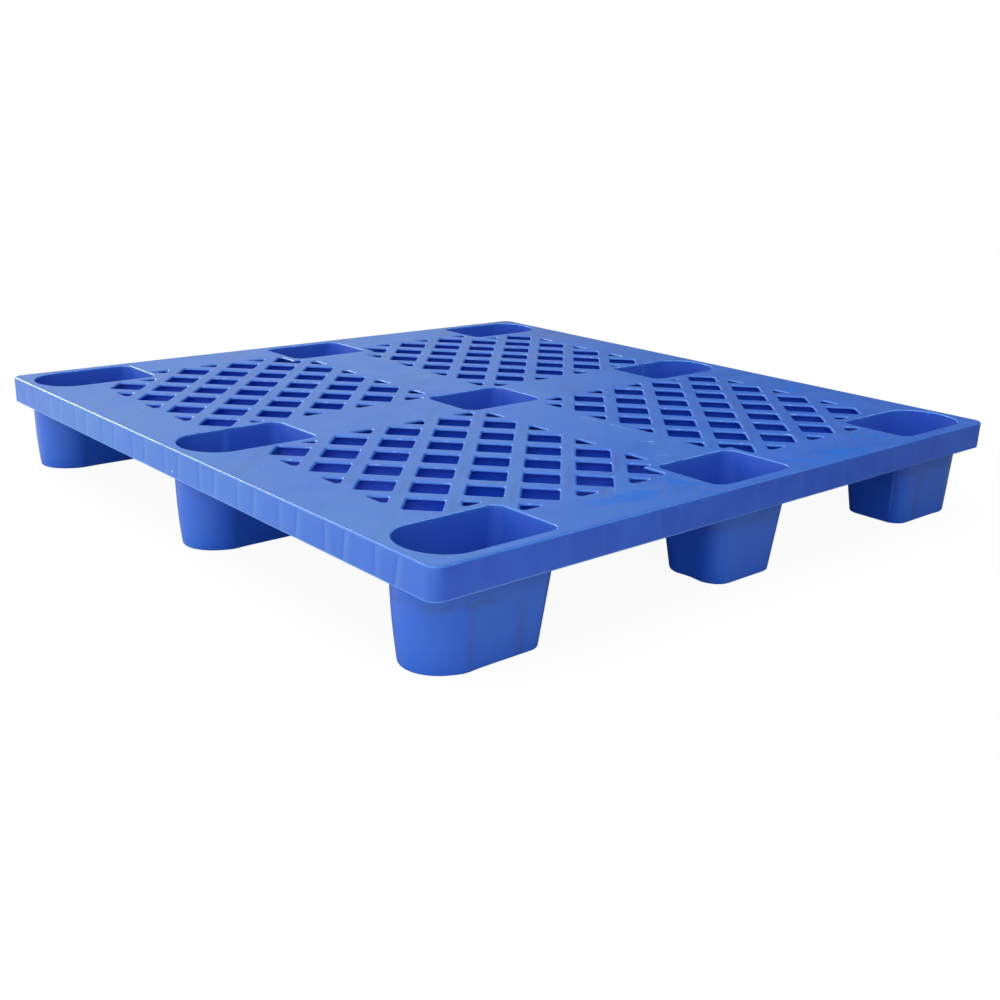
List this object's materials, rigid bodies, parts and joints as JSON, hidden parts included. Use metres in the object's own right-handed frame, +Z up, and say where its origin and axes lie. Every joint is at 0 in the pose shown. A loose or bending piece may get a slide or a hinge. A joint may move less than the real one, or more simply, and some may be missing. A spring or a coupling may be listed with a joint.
{
  "type": "plastic pallet",
  "caption": "Square nestable plastic pallet with an open diamond-grid deck, a shallow rim and hollow tapering legs that leave room for forks on every side.",
  "frame": {"origin": "middle of the square footprint, on the plane that the feet stand on", "axes": "+Z up through the deck, +X to the right along the front rim, +Y from the front rim to the back rim"},
  "size_m": [1.1, 1.1, 0.14],
  "materials": {
    "deck_plastic": "satin blue HDPE, dusty and scuffed",
    "leg_plastic": "semi-gloss blue HDPE, clean",
    "rim_plastic": "semi-gloss blue HDPE with faint sink bands"
  },
  "bodies": {
    "root": {"back_band_left": "deck_plastic", "back_band_right": "deck_plastic", "centre_band_back": "deck_plastic", "centre_band_front": "deck_plastic", "front_band_left": "deck_plastic", "front_band_right": "deck_plastic", "grille_back_left": "deck_plastic", "grille_back_right": "deck_plastic", "grille_front_left": "deck_plastic", "grille_front_right": "deck_plastic", "leg_back_centre": "leg_plastic", "leg_back_left": "leg_plastic", "leg_back_right": "leg_plastic", "leg_front_centre": "leg_plastic", "leg_front_left": "leg_plastic", "leg_front_right": "leg_plastic", "leg_middle_centre": "leg_plastic", "leg_middle_left": "leg_plastic", "leg_middle_right": "leg_plastic", "middle_band_left": "deck_plastic", "middle_band_right": "deck_plastic", "rim_back": "rim_plastic", "rim_front": "rim_plastic", "rim_left": "rim_plastic", "rim_right": "rim_plastic", "side_band_back_left": "deck_plastic", "side_band_back_right": "deck_plastic", "side_band_front_left": "deck_plastic", "side_band_front_right": "deck_plastic"}
  },
  "joints": []
}
